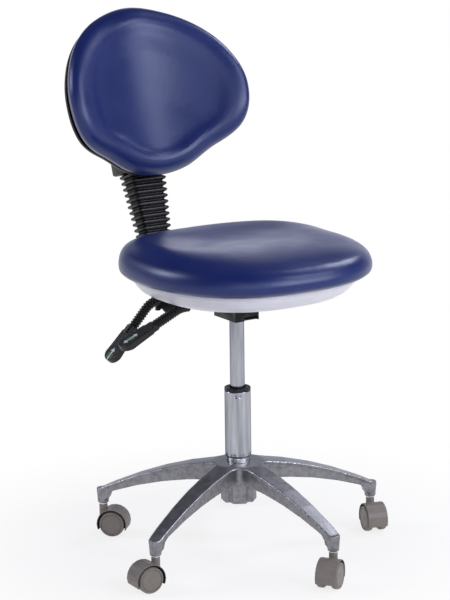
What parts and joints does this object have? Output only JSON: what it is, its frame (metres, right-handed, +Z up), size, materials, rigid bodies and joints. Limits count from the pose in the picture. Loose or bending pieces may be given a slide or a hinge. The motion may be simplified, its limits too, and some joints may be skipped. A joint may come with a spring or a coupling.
{
  "type": "dentist stool",
  "caption": "Dentist stool with a round padded seat on a gas lift, a tilting padded backrest on a ribbed upright, two side levers and a cast star base on twin-wheel casters.",
  "frame": {"origin": "on the floor, under the middle of the whole stool seen from above", "axes": "+Z up, the sitter faces -Y and the sitter's right hand is at -X"},
  "size_m": [0.5929, 0.7316, 1.0019],
  "materials": {
    "navy_leather": "glossy grained synthetic leather",
    "white_abs": "satin moulded",
    "black_plastic": "satin moulded",
    "black_rubber": "matt moulded",
    "cast_aluminium": "polished casting",
    "satin_chrome": "satin",
    "bright_steel": "turned",
    "black_steel": "black powder coat",
    "warm_grey_nylon": "satin moulded",
    "plywood": "bare"
  },
  "bodies": {
    "base": {"base_star": "cast_aluminium", "lift_outer_tube": "satin_chrome", "lift_guide_bush": "black_plastic", "lift_thrust_bearing": "bright_steel"},
    "lift_rod": {"lift_piston_rod": "bright_steel", "lift_bumper": "black_rubber", "lift_bottom_clip": "bright_steel"},
    "seat": {"lift_gas_cylinder": "satin_chrome", "mechanism_plate": "black_steel", "mechanism_socket": "black_steel", "seat_pan": "white_abs", "seat_board": "plywood", "seat_cushion": "navy_leather", "seat_bolt_1": "bright_steel", "seat_bolt_2": "bright_steel", "seat_bolt_3": "bright_steel", "seat_bolt_4": "bright_steel", "tilt_pivot_pin": "bright_steel"},
    "release_button": {"lift_release_button": "bright_steel"},
    "lift_lever": {"lift_lever_rod": "bright_steel", "lift_lever_sleeve": "black_rubber", "lift_lever_paddle": "black_plastic"},
    "tilt_lever": {"tilt_lever_rod": "bright_steel", "tilt_lever_sleeve": "black_rubber", "tilt_lever_paddle": "black_plastic"},
    "back_frame": {"tilt_bracket": "black_steel", "back_upright": "black_steel", "upright_bolt": "bright_steel", "upright_bellows": "black_rubber"},
    "backrest": {"back_slider": "black_plastic", "backrest_shell": "black_plastic", "backrest_board": "plywood", "backrest_pad": "navy_leather", "backrest_bolt_1": "bright_steel", "backrest_bolt_2": "bright_steel"},
    "caster_1": {"caster_1_hood": "warm_grey_nylon", "caster_1_stem": "bright_steel", "caster_1_axle": "bright_steel"},
    "caster_1_wheel_left": {"caster_1_wheel_left": "warm_grey_nylon"},
    "caster_1_wheel_right": {"caster_1_wheel_right": "warm_grey_nylon"},
    "caster_2": {"caster_2_hood": "warm_grey_nylon", "caster_2_stem": "bright_steel", "caster_2_axle": "bright_steel"},
    "caster_2_wheel_left": {"caster_2_wheel_left": "warm_grey_nylon"},
    "caster_2_wheel_right": {"caster_2_wheel_right": "warm_grey_nylon"},
    "caster_3": {"caster_3_hood": "warm_grey_nylon", "caster_3_stem": "bright_steel", "caster_3_axle": "bright_steel"},
    "caster_3_wheel_left": {"caster_3_wheel_left": "warm_grey_nylon"},
    "caster_3_wheel_right": {"caster_3_wheel_right": "warm_grey_nylon"},
    "caster_4": {"caster_4_hood": "warm_grey_nylon", "caster_4_stem": "bright_steel", "caster_4_axle": "bright_steel"},
    "caster_4_wheel_left": {"caster_4_wheel_left": "warm_grey_nylon"},
    "caster_4_wheel_right": {"caster_4_wheel_right": "warm_grey_nylon"},
    "caster_5": {"caster_5_hood": "warm_grey_nylon", "caster_5_stem": "bright_steel", "caster_5_axle": "bright_steel"},
    "caster_5_wheel_left": {"caster_5_wheel_left": "warm_grey_nylon"},
    "caster_5_wheel_right": {"caster_5_wheel_right": "warm_grey_nylon"}
  },
  "joints": [
    {"name": "seat_swivel", "type": "hinge", "parent": "base", "child": "lift_rod", "pos_m": [0.0062, -0.0461, 0.3], "axis": [0, 0, 1], "continuous": true},
    {"name": "seat_height", "type": "slide", "parent": "lift_rod", "child": "seat", "axis": [0, 0, 1], "range_m": [-0.11, 0.03]},
    {"name": "lift_lever_rock", "type": "hinge", "parent": "seat", "child": "lift_lever", "pos_m": [-0.0185, -0.0461, 0.48582], "axis": [0, 1, 0], "range_deg": [0, 4.5], "stiffness_Nm_per_rad": 4},
    {"name": "release_button_press", "type": "slide", "parent": "seat", "child": "release_button", "axis": [0, 0, 1], "range_m": [-0.0025, 0]},
    {"name": "tilt_lever_rock", "type": "hinge", "parent": "seat", "child": "tilt_lever", "pos_m": [-0.026, 0.0339, 0.48582], "axis": [0, 1, 0], "range_deg": [0, 4.5]},
    {"name": "back_tilt", "type": "hinge", "parent": "seat", "child": "back_frame", "pos_m": [0.0062, 0.0299, 0.47052], "axis": [-1, 0, 0], "range_deg": [-8, 12]},
    {"name": "backrest_height", "type": "slide", "parent": "back_frame", "child": "backrest", "axis": [0, 0.3173, 0.9483], "range_m": [-0.03, 0.05], "deforming": ["upright_bellows"]},
    {"name": "caster_1_swivel", "type": "hinge", "parent": "base", "child": "caster_1", "pos_m": [0.03208, -0.31988, 0], "axis": [0, 0, 1], "continuous": true},
    {"name": "caster_1_wheel_left_spin", "type": "hinge", "parent": "caster_1", "child": "caster_1_wheel_left", "pos_m": [0.0202, -0.33735, 0.02462], "axis": [0.6018, -0.7986, 0], "continuous": true},
    {"name": "caster_1_wheel_right_spin", "type": "hinge", "parent": "caster_1", "child": "caster_1_wheel_right", "pos_m": [0.01201, -0.32649, 0.02462], "axis": [0.6018, -0.7986, 0], "continuous": true},
    {"name": "caster_2_swivel", "type": "hinge", "parent": "base", "child": "caster_2", "pos_m": [0.27458, -0.10609, 0], "axis": [0, 0, 1], "continuous": true},
    {"name": "caster_2_wheel_left_spin", "type": "hinge", "parent": "caster_2", "child": "caster_2_wheel_left", "pos_m": [0.27523, -0.1272, 0.02462], "axis": [0.9563, -0.2924, 0], "continuous": true},
    {"name": "caster_2_wheel_right_spin", "type": "hinge", "parent": "caster_2", "child": "caster_2_wheel_right", "pos_m": [0.26223, -0.12323, 0.02462], "axis": [0.9563, -0.2924, 0], "continuous": true},
    {"name": "caster_3_swivel", "type": "hinge", "parent": "base", "child": "caster_3", "pos_m": [0.14619, 0.1906, 0], "axis": [0, 0, 1], "continuous": true},
    {"name": "caster_3_wheel_left_spin", "type": "hinge", "parent": "caster_3", "child": "caster_3_wheel_left", "pos_m": [0.15193, 0.17028, 0.02462], "axis": [0.9986, -0.0523, 0], "continuous": true},
    {"name": "caster_3_wheel_right_spin", "type": "hinge", "parent": "caster_3", "child": "caster_3_wheel_right", "pos_m": [0.13835, 0.17099, 0.02462], "axis": [0.9986, -0.0523, 0], "continuous": true},
    {"name": "caster_4_swivel", "type": "hinge", "parent": "base", "child": "caster_4", "pos_m": [-0.17566, 0.16018, 0], "axis": [0, 0, 1], "continuous": true},
    {"name": "caster_4_wheel_left_spin", "type": "hinge", "parent": "caster_4", "child": "caster_4_wheel_left", "pos_m": [-0.15655, 0.15118, 0.02462], "axis": [0.6947, 0.7193, 0], "continuous": true},
    {"name": "caster_4_wheel_right_spin", "type": "hinge", "parent": "caster_4", "child": "caster_4_wheel_right", "pos_m": [-0.166, 0.1414, 0.02462], "axis": [0.6947, 0.7193, 0], "continuous": true},
    {"name": "caster_5_swivel", "type": "hinge", "parent": "base", "child": "caster_5", "pos_m": [-0.24618, -0.15532, 0], "axis": [0, 0, 1], "continuous": true},
    {"name": "caster_5_wheel_left_spin", "type": "hinge", "parent": "caster_5", "child": "caster_5_wheel_left", "pos_m": [-0.2663, -0.16177, 0.02462], "axis": [-0.0175, -0.9998, 0], "continuous": true},
    {"name": "caster_5_wheel_right_spin", "type": "hinge", "parent": "caster_5", "child": "caster_5_wheel_right", "pos_m": [-0.26606, -0.14817, 0.02462], "axis": [-0.0175, -0.9998, 0], "continuous": true}
  ],
  "couplings": [
    {"joint": "release_button_press", "follows": "lift_lever_rock", "m_per_rad": -0.0247}
  ]
}
